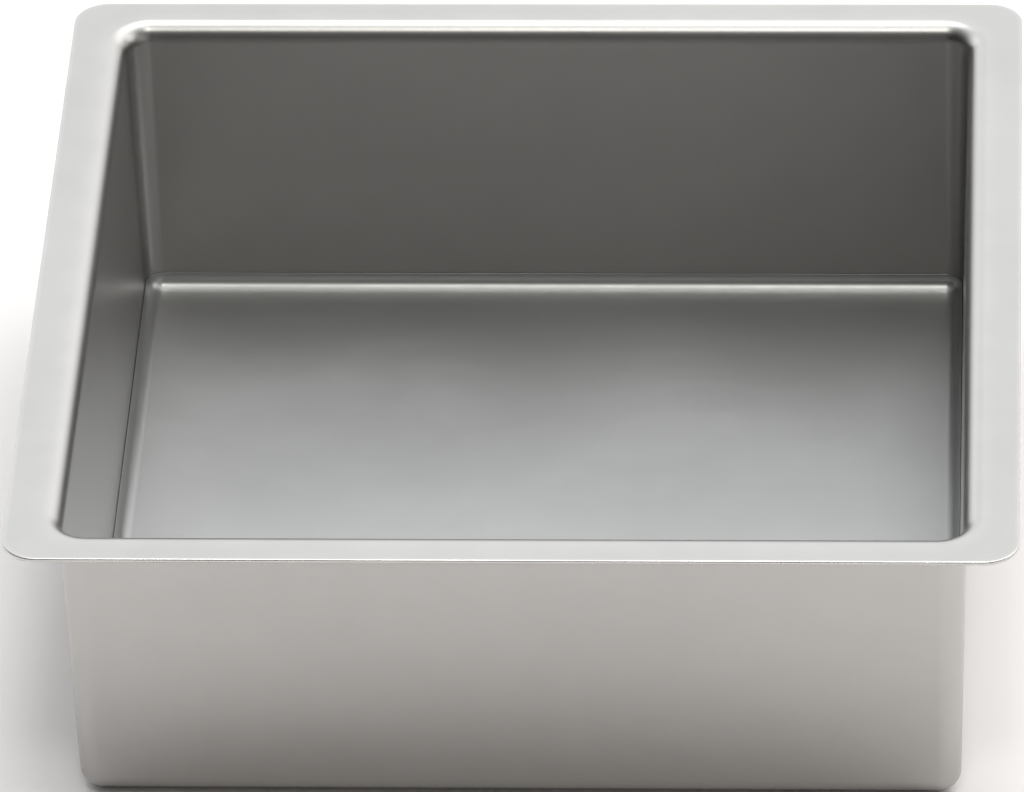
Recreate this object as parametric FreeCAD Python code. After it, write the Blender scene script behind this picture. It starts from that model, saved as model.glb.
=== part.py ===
import FreeCAD, Part
import math
import os
from FreeCAD import Vector

# Square loose-bottom cake pan, millimetres, +Z up.
# Origin: centre of the footprint, on the plane the pan stands on.
# X runs across the two wider flanges, Y across the two narrower ones.

# ---- driving dimensions -------------------------------------------------
INNER_WIDTH = 203.2      # inside, wall to wall, at the rim (8 in nominal)
PAN_HEIGHT = 76.2        # flange top above the table (3 in nominal)
WALL_DRAFT = 1.2         # degrees, each wall leans outward going up
SHEET = 1.0              # sheet gauge of the shell
CORNER_R = 6.0           # inside vertical corner radius at the rim

FLANGE_SIDE = 12.8       # inner wall face to flange edge, left and right
FLANGE_FRONT = 11.1      # inner wall face to flange edge, front and back
FLANGE_CORNER_R = 8.0    # plan radius of the flange's outer corners
FLANGE_BEND_R = 4.6      # convex radius from inner wall face to flange top
FLANGE_EDGE_R = 0.35     # eased edge of the trimmed sheet

BOTTOM_BEND_R = 3.9      # inside radius from wall to ledge
LEDGE = 10.0             # inner wall face (at the bottom) to the opening
OPENING_CORNER_R = 6.0   # plan radius of the push-out opening

BASE_SHEET = 0.8         # sheet gauge of the loose base
COVE_R = 3.6             # inside radius where the base turns up to the wall
BASE_GAP = 0.12          # gap between the base's upturned edge and the wall
BASE_REST_GAP = 0.10     # gap between the base's underside and the ledge
BASE_RIM = 0.15          # the upturned edge is coined down to this at its top
BASE_EDGE_R = 0.06       # eased top edge of the base's upturned rim

# ---- derived ------------------------------------------------------------
HALF = INNER_WIDTH / 2.0
CC = HALF - CORNER_R                 # corner axes stand at (+-CC, +-CC)
TAN = math.tan(math.radians(WALL_DRAFT))
COS = math.cos(math.radians(WALL_DRAFT))
SIN = math.sin(math.radians(WALL_DRAFT))


def inner_r(z):
    """Inner wall face, as a distance outward from the corner axis."""
    return CORNER_R - (PAN_HEIGHT - z) * TAN


def P(r, z):
    """Point of the section through the +X wall, r measured from CC."""
    return Vector(CC + r, 0.0, z)


def arc(cr, cz, rad, a0, a1):
    """Arc of the section about (cr, cz) from angle a0 to a1 in degrees."""
    am = (a0 + a1) / 2.0
    pts = [P(cr + rad * math.cos(math.radians(a)), cz + rad * math.sin(math.radians(a)))
           for a in (a0, am, a1)]
    return Part.Arc(*pts).toShape(), pts[0], pts[2]


def line(a, b):
    return Part.LineSegment(a, b).toShape()


def ring_of(face):
    """Carries a section of the +X wall round the whole rounded square."""
    solids = []
    start = face.copy()
    start.translate(Vector(0, -CC, 0))
    side = start.extrude(Vector(0, 2 * CC, 0))
    turn = face.copy()
    turn.translate(Vector(0, CC, 0))
    corner = turn.revolve(Vector(CC, CC, 0), Vector(0, 0, 1), 90)
    for k in range(4):
        for s in (side, corner):
            c = s.copy()
            c.rotate(Vector(0, 0, 0), Vector(0, 0, 1), 90 * k)
            solids.append(c)
    return solids


def rounded_wire(hx, hy, r, z):
    """Closed rounded rectangle of half sizes hx, hy and corner radius r."""
    e = []
    corners = [(hx - r, hy - r, 0), (-hx + r, hy - r, 90), (-hx + r, -hy + r, 180), (hx - r, -hy + r, 270)]
    ends = []
    for cx, cy, a0 in corners:
        p = [Vector(cx + r * math.cos(math.radians(a0 + d)), cy + r * math.sin(math.radians(a0 + d)), z)
             for d in (0, 45, 90)]
        ends.append(p)
    for i, p in enumerate(ends):
        e.append(Part.Arc(*p).toShape())
        e.append(line(p[2], ends[(i + 1) % 4][0]))
    return Part.Wire(e)


def plate(outer, inner, height):
    """Flat plate inside wire outer, with a hole along wire inner if given."""
    solid = Part.Face(outer).extrude(Vector(0, 0, height))
    if inner is not None:
        hole = Part.Face(inner).extrude(Vector(0, 0, height))
        solid = solid.cut(hole).Solids[0]
    return solid


def fuse_all(solids):
    s = solids[0].multiFuse(solids[1:]).removeSplitter()
    if s.ShapeType != "Solid":
        s = s.Solids[0] if len(s.Solids) == 1 else s
    return s


def edge_near(shape, test):
    return [e for e in shape.Edges if test(e)]


def on_flange_edge(e):
    c = e.CenterOfMass
    level = abs(e.BoundBox.ZMin - e.BoundBox.ZMax) < 1e-4
    at_face = min(abs(c.z - PAN_HEIGHT), abs(c.z - PAN_HEIGHT + SHEET)) < 1e-4
    straight = abs(abs(c.x) - HALF - FLANGE_SIDE) < 1e-4 or abs(abs(c.y) - HALF - FLANGE_FRONT) < 1e-4
    at_corner = abs(c.x) > HALF + FLANGE_SIDE - FLANGE_CORNER_R and abs(c.y) > HALF + FLANGE_FRONT - FLANGE_CORNER_R
    return level and at_face and (straight or at_corner)


# ---- pan shell ----------------------------------------------------------
# Section, walked anticlockwise round the sheet: flange bend, wall, bottom
# bend.  The flat flange and the flat ledge are added as plates.
top_cz = PAN_HEIGHT - FLANGE_BEND_R
# centre of the flange bend lies outside the inner wall face by its radius
top_cr = inner_r(top_cz) + FLANGE_BEND_R / COS
bot_cz = SHEET + BOTTOM_BEND_R
bot_cr = inner_r(bot_cz) - BOTTOM_BEND_R / COS

# direction from the bend centres to the tangent point on the inner face
ang_in_top = 180.0 - WALL_DRAFT     # flange bend: normal points to the cavity
ang_in_bot = -WALL_DRAFT            # bottom bend: normal points outward

a1, t0, t1 = arc(top_cr, top_cz, FLANGE_BEND_R, 90.0, ang_in_top)
a2, b0, b1 = arc(bot_cr, bot_cz, BOTTOM_BEND_R, ang_in_bot, -90.0)
a3, c0, c1 = arc(bot_cr, bot_cz, BOTTOM_BEND_R + SHEET, -90.0, ang_in_bot)
a4, d0, d1 = arc(top_cr, top_cz, FLANGE_BEND_R - SHEET, ang_in_top, 90.0)
section = Part.Wire([a1, line(t1, b0), a2, line(b1, c0), a3, line(c1, d0), a4, line(d1, t0)])
wall_solids = ring_of(Part.Face(section))

flange = plate(
    rounded_wire(HALF + FLANGE_SIDE, HALF + FLANGE_FRONT, FLANGE_CORNER_R, PAN_HEIGHT - SHEET),
    rounded_wire(CC + top_cr, CC + top_cr, top_cr, PAN_HEIGHT - SHEET),
    SHEET,
)
flange = flange.makeFillet(FLANGE_EDGE_R, edge_near(flange, on_flange_edge))
OPENING_HALF = CC + inner_r(0.0) - LEDGE
ledge = plate(
    rounded_wire(CC + bot_cr, CC + bot_cr, bot_cr, 0.0),
    rounded_wire(OPENING_HALF, OPENING_HALF, OPENING_CORNER_R, 0.0),
    SHEET,
)
pan_shell = fuse_all(wall_solids + [flange, ledge])

# ---- loose base ---------------------------------------------------------
base_z = SHEET + BASE_REST_GAP
base_out_r = BOTTOM_BEND_R - BASE_GAP
base_cz = base_z + base_out_r
cove_cr = bot_cr + base_out_r - BASE_RIM - COVE_R
cove_cz = base_z + BASE_SHEET + COVE_R
e1, p0, p1 = arc(bot_cr, base_cz, base_out_r, -90.0, 0.0)
# the cove's inner arc is the larger one, so the edge thins towards its top
e2, q0, q1 = arc(cove_cr, cove_cz, COVE_R, 0.0, -90.0)
p2 = P(bot_cr + base_out_r, cove_cz)
q2 = P(bot_cr, base_z + BASE_SHEET)
cove = Part.Wire([e1, line(p1, p2), line(p2, q0), e2, line(q1, q2), line(q2, p0)])
floor_plate = plate(rounded_wire(CC + bot_cr, CC + bot_cr, bot_cr, base_z), None, BASE_SHEET)
loose_base = fuse_all(ring_of(Part.Face(cove)) + [floor_plate])


def on_base_rim(e):
    level = abs(e.BoundBox.ZMin - e.BoundBox.ZMax) < 1e-4
    return level and abs(e.CenterOfMass.z - cove_cz) < 1e-4


loose_base = loose_base.makeFillet(BASE_EDGE_R, edge_near(loose_base, on_base_rim))

# ---- write --------------------------------------------------------------
os.makedirs("parts", exist_ok=True)
NODES = {"pan_shell": pan_shell, "loose_base": loose_base}
for name, shape in NODES.items():
    if shape.ShapeType != "Solid" and len(shape.Solids) == 1:
        shape = shape.Solids[0]
    assert shape.isValid() and len(shape.Solids) == 1, name
    shape.exportStep("parts/" + name + ".step")
    bb = shape.BoundBox
    print(name, shape.ShapeType, "faces", len(shape.Faces), "volume %.1f" % shape.Volume,
          "box %.3f %.3f %.3f  %.3f %.3f %.3f" % (bb.XMin, bb.YMin, bb.ZMin, bb.XMax, bb.YMax, bb.ZMax))
common = pan_shell.common(loose_base)
print("overlap %.6f mm3, nearest %.4f mm" % (common.Volume, pan_shell.distToShape(loose_base)[0]))
print("opening half %.3f, floor top %.3f, base rim top %.3f" % (OPENING_HALF, base_z + BASE_SHEET, cove_cz))
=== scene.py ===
import math

import bmesh
import bpy
from mathutils import Matrix, Vector, noise


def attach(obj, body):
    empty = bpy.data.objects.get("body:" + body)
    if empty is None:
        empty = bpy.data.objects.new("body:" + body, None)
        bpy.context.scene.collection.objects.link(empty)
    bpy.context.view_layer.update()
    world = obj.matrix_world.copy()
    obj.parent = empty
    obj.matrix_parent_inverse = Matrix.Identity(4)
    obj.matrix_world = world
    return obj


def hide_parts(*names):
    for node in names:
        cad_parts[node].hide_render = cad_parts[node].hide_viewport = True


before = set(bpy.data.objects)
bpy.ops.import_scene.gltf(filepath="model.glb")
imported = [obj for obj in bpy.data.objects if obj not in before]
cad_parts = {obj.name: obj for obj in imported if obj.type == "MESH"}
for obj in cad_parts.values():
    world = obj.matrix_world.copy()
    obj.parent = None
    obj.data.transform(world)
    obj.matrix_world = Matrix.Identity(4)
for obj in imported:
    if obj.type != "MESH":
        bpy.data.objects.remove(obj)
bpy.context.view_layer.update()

S = 0.001  # the numbers below are millimetres

# ---------------------------------------------------------------- dimensions
# the same driving dimensions as the CAD part
HALF = 101.6
H = 76.2
DRAFT = 1.2
SHEET = 1.0
CORNER_R = 6.0
FX, FY = HALF + 12.8, HALF + 11.1
FLANGE_R = 8.0
BEND_R = 4.6
EDGE_R = 0.35
BOT_R = 3.9
LEDGE = 10.0
OPEN_R = 6.0
BASE_SHEET = 0.8
COVE_R = 3.6
BASE_GAP = 0.12
BASE_RIM = 0.15
REST_GAP = 0.10
TAN = math.tan(math.radians(DRAFT))
COS = math.cos(math.radians(DRAFT))
CC = HALF - CORNER_R


def inner_r(z):
    return CORNER_R - (H - z) * TAN


top_cz = H - BEND_R
top_cr = inner_r(top_cz) + BEND_R / COS
bot_cz = SHEET + BOT_R
bot_cr = inner_r(bot_cz) - BOT_R / COS
OPEN_H = CC + inner_r(0.0) - LEDGE

# ------------------------------------------------------------------ stations
SIDE_N = 44     # stations along each straight side
TURN_N = 20     # stations round each corner


def stations():
    """Anchor on the square of the corner axes and outward direction, round the pan."""
    out = []
    corner = [(CC, CC), (-CC, CC), (-CC, -CC), (CC, -CC)]
    for k in range(4):
        a0 = 90.0 * k
        for i in range(TURN_N):
            a = math.radians(a0 + 90.0 * i / TURN_N)
            out.append((corner[k], (math.cos(a), math.sin(a))))
        p, q = corner[k], corner[(k + 1) % 4]
        d = (math.cos(math.radians(a0 + 90)), math.sin(math.radians(a0 + 90)))
        for i in range(SIDE_N):
            t = i / SIDE_N
            out.append(((p[0] + (q[0] - p[0]) * t, p[1] + (q[1] - p[1]) * t), d))
    return out


ST = stations()
NS = len(ST)


def concentric(r):
    return [(a[0] + r * d[0], a[1] + r * d[1]) for a, d in ST]


def flange_ring(r):
    """Ring of the flange's own rounded rectangle, r from its corner axes."""
    kx, ky = (FX - FLANGE_R) / CC, (FY - FLANGE_R) / CC
    return [(a[0] * kx + r * d[0], a[1] * ky + r * d[1]) for a, d in ST]


def opening_ring(r):
    k = (OPEN_H - OPEN_R) / CC
    return [(a[0] * k + r * d[0], a[1] * k + r * d[1]) for a, d in ST]


def mix(r0, r1, t):
    return [(p[0] + (q[0] - p[0]) * t, p[1] + (q[1] - p[1]) * t) for p, q in zip(r0, r1)]


def arc_pts(cr, cz, rad, a0, a1, n):
    return [(cr + rad * math.cos(math.radians(a0 + (a1 - a0) * i / n)),
             cz + rad * math.sin(math.radians(a0 + (a1 - a0) * i / n))) for i in range(n + 1)]


def wave(x, y, z, size, amount, seed):
    """Slow unevenness of pressed sheet, in millimetres."""
    p = Vector((x / size + seed, y / size - seed, z / size + 2.3 * seed))
    return amount * noise.noise(p, noise_basis="PERLIN_NEW")


def new_object(name, bm, smooth=True):
    bmesh.ops.recalc_face_normals(bm, faces=bm.faces)
    me = bpy.data.meshes.new(name)
    bm.to_mesh(me)
    bm.free()
    for p in me.polygons:
        p.use_smooth = smooth
    ob = bpy.data.objects.new(name, me)
    bpy.context.scene.collection.objects.link(ob)
    return ob


def rect_gap(x, y, hx, hy, r):
    """How far inside a rounded rectangle a point lies."""
    qx, qy = abs(x) - (hx - r), abs(y) - (hy - r)
    return r - (math.hypot(max(qx, 0.0), max(qy, 0.0)) + min(max(qx, qy), 0.0))


def mark_wear(ob, rule):
    """Per-vertex burnish of handled edges, 0 to 1, read by the material."""
    at = ob.data.attributes.new("wear", "FLOAT", "POINT")
    at.data.foreach_set("value", [max(0.0, min(1.0, rule(v.co.x / S, v.co.y / S, v.co.z / S))) for v in ob.data.vertices])


# --------------------------------------------------------------------- shell
def build_shell():
    """Closed skin of the drawn shell: every ring is one line round the pan."""
    rings = []   # (points, z)

    def add(pts, z):
        rings.append((pts, z))

    zt, zb = H, H - SHEET
    outer_in = flange_ring(FLANGE_R - EDGE_R)
    inner_t = concentric(top_cr)
    # flange top, from the bend outwards
    add(inner_t, zt)
    for t in (0.02, 0.12, 0.3, 0.5, 0.7, 0.88, 0.98, 1.0):
        add(mix(inner_t, outer_in, t), zt)
    # eased edge
    for i in range(1, 7):
        a = math.radians(90 - 15 * i)
        add(flange_ring(FLANGE_R - EDGE_R + EDGE_R * math.cos(a)), zt - EDGE_R + EDGE_R * math.sin(a))
    add(flange_ring(FLANGE_R), zb + EDGE_R + (SHEET - 2 * EDGE_R) * 0.5)
    for i in range(0, 7):
        a = math.radians(-15 * i)
        add(flange_ring(FLANGE_R - EDGE_R + EDGE_R * math.cos(a)), zb + EDGE_R + EDGE_R * math.sin(a))
    # flange underside, back to the bend
    for t in (0.98, 0.7, 0.4, 0.12, 0.02, 0.0):
        add(mix(inner_t, outer_in, t), zb)
    # underside of the flange bend
    for r, z in arc_pts(top_cr, top_cz, BEND_R - SHEET, 90, 180 - DRAFT, 10)[1:]:
        add(concentric(r), z)
    # outer wall face, top to bottom
    r0, z0 = arc_pts(top_cr, top_cz, BEND_R - SHEET, 90, 180 - DRAFT, 10)[-1]
    r1, z1 = arc_pts(bot_cr, bot_cz, BOT_R + SHEET, -DRAFT, -90, 14)[0]
    n = 26
    for i in range(0, n + 1):
        t = i / n
        if i == 0:
            t = 0.004
        if i == n:
            t = 0.996
        add(concentric(r0 + (r1 - r0) * t), z0 + (z1 - z0) * t)
    # outside of the bottom bend
    for r, z in arc_pts(bot_cr, bot_cz, BOT_R + SHEET, -DRAFT, -90, 14):
        add(concentric(r), z)
    # ledge underside, opening edge, ledge top
    c0 = concentric(bot_cr)
    e0 = opening_ring(OPEN_R)
    for t in (0.03, 0.35, 0.7, 0.97, 1.0):
        add(mix(c0, e0, t), 0.0)
    add(e0, SHEET * 0.06)
    add(e0, SHEET * 0.94)
    for t in (1.0, 0.97, 0.6, 0.3, 0.03, 0.0):
        add(mix(c0, e0, t), SHEET)
    # inside of the bottom bend
    for r, z in arc_pts(bot_cr, bot_cz, BOT_R, -90, -DRAFT, 12)[1:]:
        add(concentric(r), z)
    # inner wall face, bottom to top
    r0, z0 = arc_pts(bot_cr, bot_cz, BOT_R, -90, -DRAFT, 12)[-1]
    r1, z1 = arc_pts(top_cr, top_cz, BEND_R, 180 - DRAFT, 90, 14)[0]
    for i in range(0, n + 1):
        t = i / n
        if i == 0:
            t = 0.004
        if i == n:
            t = 0.996
        add(concentric(r0 + (r1 - r0) * t), z0 + (z1 - z0) * t)
    # flange bend, back to the first ring
    for r, z in arc_pts(top_cr, top_cz, BEND_R, 180 - DRAFT, 90, 14)[:-1]:
        add(concentric(r), z)

    bm = bmesh.new()
    verts = []
    for pts, z in rings:
        row = []
        for (x, y), (a, d) in zip(pts, ST):
            # walls carry a faint slow unevenness; both faces move together
            k = max(0.0, min(1.0, (z - 9.0) / 12.0)) * max(0.0, min(1.0, (H - 7.0 - z) / 12.0))
            w = wave(a[0] + 6 * d[0], a[1] + 6 * d[1], z, 34.0, 0.11, 3.1) * k if k > 0 else 0.0
            row.append(bm.verts.new(((x + w * d[0]) * S, (y + w * d[1]) * S, z * S)))
        verts.append(row)
    nr = len(verts)
    for i in range(nr):
        a, b = verts[i], verts[(i + 1) % nr]
        for j in range(NS):
            k = (j + 1) % NS
            bm.faces.new((a[j], a[k], b[k], b[j]))
    return new_object("pan_shell_drawn", bm)


# ---------------------------------------------------------------------- base
def build_base():
    """The pressed base: flat plate, coved edge turned up, eased top edge."""
    z0 = SHEET + REST_GAP
    zf = z0 + BASE_SHEET
    ro = BOT_R - BASE_GAP
    cz = z0 + ro
    er = 0.06
    cr = bot_cr + ro - BASE_RIM - COVE_R    # the cove's own centre, the edge thins upward
    ct = zf + COVE_R
    prof = []   # (r, z) from the plate's top face, up the cove, over the edge, down outside, to the underside
    prof += [(0.0, zf), (cr * 0.5, zf), (cr - 0.1, zf)]
    prof += [p for p in arc_pts(cr, ct, COVE_R, -90, 0, 24) if p[1] < ct - er - 0.05]
    prof += [(cr + COVE_R, ct - er)]
    prof += arc_pts(cr + COVE_R + er, ct - er, er, 180, 90, 4)[1:]
    prof += arc_pts(bot_cr + ro - er, ct - er, er, 90, 0, 4)
    prof += [(bot_cr + ro, 0.5 * (ct + cz))]
    prof += arc_pts(bot_cr, cz, ro, 0, -90, 16)
    prof += [(bot_cr - 0.12, z0), (bot_cr * 0.5, z0), (0.0, z0)]
    bm = bmesh.new()
    rows = []
    for r, z in prof:
        rows.append([bm.verts.new((x * S, y * S, z * S)) for x, y in concentric(r)])
    for i in range(len(rows) - 1):
        a, b = rows[i], rows[i + 1]
        for j in range(NS):
            k = (j + 1) % NS
            bm.faces.new((a[j], a[k], b[k], b[j]))
    # flat middle of both faces: a square grid between the corner axes
    for z in (zf, z0):
        g = [[bm.verts.new(((-CC + 2 * CC * i / SIDE_N) * S, (-CC + 2 * CC * j / SIDE_N) * S, z * S))
              for j in range(SIDE_N + 1)] for i in range(SIDE_N + 1)]
        for i in range(SIDE_N):
            for j in range(SIDE_N):
                bm.faces.new((g[i][j], g[i + 1][j], g[i + 1][j + 1], g[i][j + 1]))
    bmesh.ops.remove_doubles(bm, verts=bm.verts, dist=1e-7)
    # faint unevenness of the plate, both faces together, none near the ledge
    for v in bm.verts:
        x, y, z = v.co.x / S, v.co.y / S, v.co.z / S
        m = max(abs(x), abs(y))
        k = max(0.0, min(1.0, (88.0 - m) / 16.0))
        if k > 0:
            v.co.z += S * k * wave(x, y, 0.0, 46.0, 0.16, 7.7)
    return new_object("loose_base_pressed", bm)


def shell_wear(x, y, z):
    w = 0.0
    if z > H - SHEET - 0.01:      # outer edge of the flange
        w = 1.0 - rect_gap(x, y, FX, FY, FLANGE_R) / 0.9
    if z > H - BEND_R:            # the rolled bend, lightly
        d = abs(rect_gap(x, y, CC + top_cr, CC + top_cr, top_cr))
        w = max(w, 0.30 * (1.0 - d / 3.0))
    if z < SHEET + 0.01:          # rim of the opening
        w = max(w, 0.7 * (1.0 + rect_gap(x, y, OPEN_H, OPEN_H, OPEN_R) / 0.8))
    return w


def base_wear(x, y, z):
    """The cove is rolled smoother than the plate."""
    zf = SHEET + REST_GAP + BASE_SHEET
    return 0.0 if z < zf - 0.2 else (z - zf + 0.02) / 0.25


shell = build_shell()
base = build_base()
mark_wear(shell, shell_wear)
mark_wear(base, base_wear)


# ----------------------------------------------------------------- materials
def satin_metal(name, color, rough, draw_scale, seed, wear_gain, wear_rough):
    """Satin aluminium: etched micro grain, faint draw lines, cloudiness, burnished edges."""
    m = bpy.data.materials.new(name)
    m.use_nodes = True
    nt = m.node_tree
    for n in list(nt.nodes):
        nt.nodes.remove(n)
    N, L = nt.nodes.new, nt.links.new
    out = N("ShaderNodeOutputMaterial")
    bs = N("ShaderNodeBsdfPrincipled")
    bs.inputs["Metallic"].default_value = 1.0
    tc = N("ShaderNodeTexCoord")

    def noise_tex(scale_vec, scale, detail, rough_, shift=0.0):
        mp = N("ShaderNodeMapping")
        mp.inputs["Scale"].default_value = scale_vec
        mp.inputs["Location"].default_value = (seed + shift, seed * 0.7 - shift, seed * 1.3 + 2 * shift)
        L(tc.outputs["Object"], mp.inputs["Vector"])
        nz = N("ShaderNodeTexNoise")
        nz.inputs["Scale"].default_value = scale
        nz.inputs["Detail"].default_value = detail
        nz.inputs["Roughness"].default_value = rough_
        L(mp.outputs["Vector"], nz.inputs["Vector"])
        return nz.outputs["Fac"]

    def ramp(src, lo, hi, a, b):
        r = N("ShaderNodeMapRange")
        r.inputs["From Min"].default_value = lo
        r.inputs["From Max"].default_value = hi
        r.inputs["To Min"].default_value = a
        r.inputs["To Max"].default_value = b
        L(src, r.inputs["Value"])
        return r.outputs["Result"]

    def math_(op, x, y):
        n = N("ShaderNodeMath")
        n.operation = op
        for i, v in enumerate((x, y)):
            if isinstance(v, (int, float)):
                n.inputs[i].default_value = v
            else:
                L(v, n.inputs[i])
        return n.outputs[0]

    cloud = noise_tex((1, 1, 1), 14.0, 3.0, 0.5)              # patches of a few centimetres
    mottle = noise_tex((1, 1, 1), 95.0, 3.0, 0.55, 3.1)       # soft mottling of the etched skin
    draw = noise_tex(draw_scale, 1400.0, 2.0, 0.5, 1.3)       # draw or rolling lines
    grain = noise_tex((1, 1, 1), 3800.0, 2.0, 0.6, 5.9)       # etched micro grain
    wear = N("ShaderNodeAttribute")
    wear.attribute_type = "GEOMETRY"
    wear.attribute_name = "wear"
    worn = math_("MULTIPLY", wear.outputs["Fac"], ramp(mottle, 0.30, 0.62, 0.55, 1.0))

    # colour: faint cloudiness, slightly brighter where edges are burnished
    mixc = N("ShaderNodeMix")
    mixc.data_type = "RGBA"
    mixc.inputs[6].default_value = (*[c * 0.965 for c in color], 1)
    mixc.inputs[7].default_value = (*[min(1.0, c * 1.035) for c in color], 1)
    tone = math_("ADD", math_("MULTIPLY", ramp(cloud, 0.30, 0.70, 0.0, 1.0), 0.6),
                 math_("MULTIPLY", ramp(mottle, 0.30, 0.70, 0.0, 1.0), 0.4))
    L(tone, mixc.inputs[0])
    mixw = N("ShaderNodeMix")
    mixw.data_type = "RGBA"
    mixw.inputs[7].default_value = (*[min(1.0, c * wear_gain) for c in color], 1)
    L(worn, mixw.inputs[0])
    L(mixc.outputs[2], mixw.inputs[6])
    L(mixw.outputs[2], bs.inputs["Base Color"])

    # roughness: cloudy, a little lower in the draw lines, lower again on worn edges
    r = ramp(cloud, 0.25, 0.75, rough - 0.016, rough + 0.016)
    r = math_("ADD", r, ramp(mottle, 0.25, 0.75, -0.010, 0.010))
    r = math_("ADD", r, ramp(draw, 0.30, 0.70, -0.014, 0.014))
    r = math_("SUBTRACT", r, math_("MULTIPLY", worn, wear_rough))
    L(r, bs.inputs["Roughness"])

    b1 = N("ShaderNodeBump")
    b1.inputs["Strength"].default_value = 0.05
    b1.inputs["Distance"].default_value = 0.00002
    L(draw, b1.inputs["Height"])
    b2 = N("ShaderNodeBump")
    b2.inputs["Strength"].default_value = 0.10
    b2.inputs["Distance"].default_value = 0.00001
    L(grain, b2.inputs["Height"])
    L(b1.outputs["Normal"], b2.inputs["Normal"])
    L(b2.outputs["Normal"], bs.inputs["Normal"])
    L(bs.outputs[0], out.inputs["Surface"])
    return m


SHELL_COLOR = (0.470, 0.460, 0.448)
BASE_COLOR = (0.460, 0.460, 0.458)
SHELL_ROUGH = 0.335
BASE_ROUGH = 0.455
shell_mat = satin_metal("satin_aluminium_shell", SHELL_COLOR, SHELL_ROUGH, (1.0, 1.0, 0.03), 1.7, 1.22, 0.07)
base_mat = satin_metal("satin_aluminium_base", BASE_COLOR, BASE_ROUGH, (0.03, 1.0, 1.0), 5.1, 1.04, 0.09)
shell.data.materials.append(shell_mat)
base.data.materials.append(base_mat)

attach(shell, "pan")
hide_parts("pan_shell")
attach(base, "base")
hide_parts("loose_base")

# --------------------------------------------------------------------- stage
bm = bmesh.new()
bmesh.ops.create_circle(bm, cap_ends=True, radius=30.0, segments=128)
me = bpy.data.meshes.new("studio_floor")
bm.to_mesh(me)
bm.free()
floor = bpy.data.objects.new("studio_floor", me)
bpy.context.scene.collection.objects.link(floor)
floor.location = (0, 0, -0.0002)
fm = bpy.data.materials.new("pale_floor")
fm.use_nodes = True
fb = fm.node_tree.nodes["Principled BSDF"]
fb.inputs["Base Color"].default_value = (0.93, 0.898, 0.89, 1)
fb.inputs["Roughness"].default_value = 0.9
fb.inputs["Specular IOR Level"].default_value = 0.1
floor.data.materials.append(fm)

# --------------------------------------------------------------------- world
def toward(az, el):
    """Direction by azimuth (0 is behind the object, 90 its right) and elevation, degrees."""
    a, e = math.radians(az), math.radians(el)
    return (math.sin(a) * math.cos(e), math.cos(a) * math.cos(e), math.sin(e))


# broad soft lights of the studio: azimuth, elevation, how narrow, strength, colour
LOBES = [
    (0, 72, 30, 5.65, (0.97, 0.99, 1.0)),
    (60, 58, 10, 2.25, (1.0, 1.0, 1.0)),
    (300, 58, 10, 0.66, (0.97, 1.0, 1.0)),
    (0, 24, 12, 1.39, (0.97, 0.99, 1.0)),
    (45, 24, 12, 1.73, (0.99, 1.0, 1.0)),
    (135, 24, 12, 0.20, (1.0, 1.0, 1.0)),
    (315, 24, 12, 1.92, (0.96, 0.99, 1.0)),
    (145, 14, 8, 0.36, (1.0, 1.0, 0.97)),
]
AMBIENT = 0.02
BACKDROP = 0.97

world = bpy.data.worlds.new("studio")
bpy.context.scene.world = world
world.use_nodes = True
wt = world.node_tree
for n in list(wt.nodes):
    wt.nodes.remove(n)
wo = wt.nodes.new("ShaderNodeOutputWorld")
tcw = wt.nodes.new("ShaderNodeTexCoord")
total = wt.nodes.new("ShaderNodeCombineXYZ")
for i in range(3):
    total.inputs[i].default_value = AMBIENT
acc = total.outputs[0]
for az, el, power, strength, tint in LOBES:
    dot = wt.nodes.new("ShaderNodeVectorMath")
    dot.operation = "DOT_PRODUCT"
    dot.inputs[1].default_value = toward(az, el)
    wt.links.new(tcw.outputs["Generated"], dot.inputs[0])
    mx = wt.nodes.new("ShaderNodeMath")
    mx.operation = "MAXIMUM"
    mx.inputs[1].default_value = 0.0
    wt.links.new(dot.outputs["Value"], mx.inputs[0])
    pw = wt.nodes.new("ShaderNodeMath")
    pw.operation = "POWER"
    pw.inputs[1].default_value = power
    wt.links.new(mx.outputs[0], pw.inputs[0])
    sc_ = wt.nodes.new("ShaderNodeVectorMath")
    sc_.operation = "SCALE"
    sc_.inputs[0].default_value = [strength * c for c in tint]
    wt.links.new(pw.outputs[0], sc_.inputs["Scale"])
    ad = wt.nodes.new("ShaderNodeVectorMath")
    ad.operation = "ADD"
    wt.links.new(acc, ad.inputs[0])
    wt.links.new(sc_.outputs[0], ad.inputs[1])
    acc = ad.outputs[0]
bg = wt.nodes.new("ShaderNodeBackground")
wt.links.new(acc, bg.inputs["Color"])
bg.inputs["Strength"].default_value = 1.0
plain = wt.nodes.new("ShaderNodeBackground")
plain.inputs["Color"].default_value = (BACKDROP, BACKDROP, BACKDROP, 1)
lp = wt.nodes.new("ShaderNodeLightPath")
mxs = wt.nodes.new("ShaderNodeMixShader")
wt.links.new(lp.outputs["Is Camera Ray"], mxs.inputs[0])
wt.links.new(bg.outputs[0], mxs.inputs[1])
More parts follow.
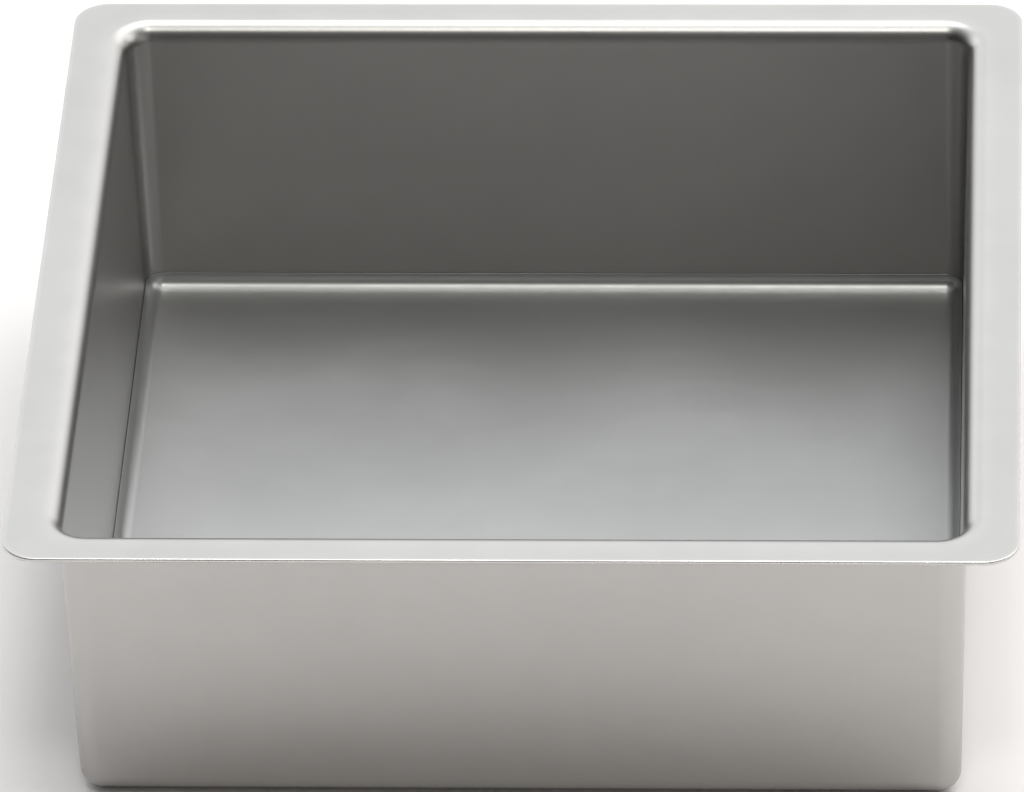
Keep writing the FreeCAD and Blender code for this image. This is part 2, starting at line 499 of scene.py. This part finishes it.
wt.links.new(plain.outputs[0], mxs.inputs[2])
wt.links.new(mxs.outputs[0], wo.inputs["Surface"])


def area(name, loc, target, sx, sy, power, tint):
    li = bpy.data.lights.new(name, "AREA")
    li.shape = "RECTANGLE"
    li.size, li.size_y = sx, sy
    li.energy = power
    li.color = tint
    ob = bpy.data.objects.new(name, li)
    bpy.context.scene.collection.objects.link(ob)
    ob.location = loc
    ob.rotation_euler = (Vector(target) - Vector(loc)).to_track_quat("-Z", "Y").to_euler()
    return ob


area("softbox_right", (1.1, 0, 0.7), (0, 0, 0.05), 0.8, 0.8, 2.9, (1.0, 1.0, 0.97))
area("softbox_front", (0, -0.895, 2.06), (0, 0, 0.05), 0.42, 0.35, 5.1, (1.0, 1.0, 0.95))
area("softbox_above", (0, -0.457, 2.202), (0, 0, 0.05), 0.42, 0.35, 2.0, (1.0, 1.0, 0.95))

# -------------------------------------------------------------------- camera
F_PX = 10162.8
CAM = Vector((0.11783, -1.93397, 1.43399))
YAW, PITCH, ROLL = math.radians(-3.634), math.radians(35.720), math.radians(-1.964)
fwd = Vector((math.sin(YAW) * math.cos(PITCH), math.cos(YAW) * math.cos(PITCH), -math.sin(PITCH)))
right = Vector((math.cos(YAW), -math.sin(YAW), 0))
up = right.cross(fwd)
r2 = math.cos(ROLL) * right + math.sin(ROLL) * up
u2 = -math.sin(ROLL) * right + math.cos(ROLL) * up
cd = bpy.data.cameras.new("camera")
cd.sensor_width = 36.0
cd.sensor_fit = "HORIZONTAL"
cd.lens = F_PX * 36.0 / 1024.0
cd.clip_start = 0.05
cam = bpy.data.objects.new("camera", cd)
bpy.context.scene.collection.objects.link(cam)
cam.matrix_world = Matrix(((r2.x, u2.x, -fwd.x, CAM.x), (r2.y, u2.y, -fwd.y, CAM.y), (r2.z, u2.z, -fwd.z, CAM.z), (0, 0, 0, 1)))
bpy.context.scene.camera = cam

vs = bpy.context.scene.view_settings
vs.view_transform = "Standard"
vs.look = "None"
vs.exposure = 0.0
vs.gamma = 1.0
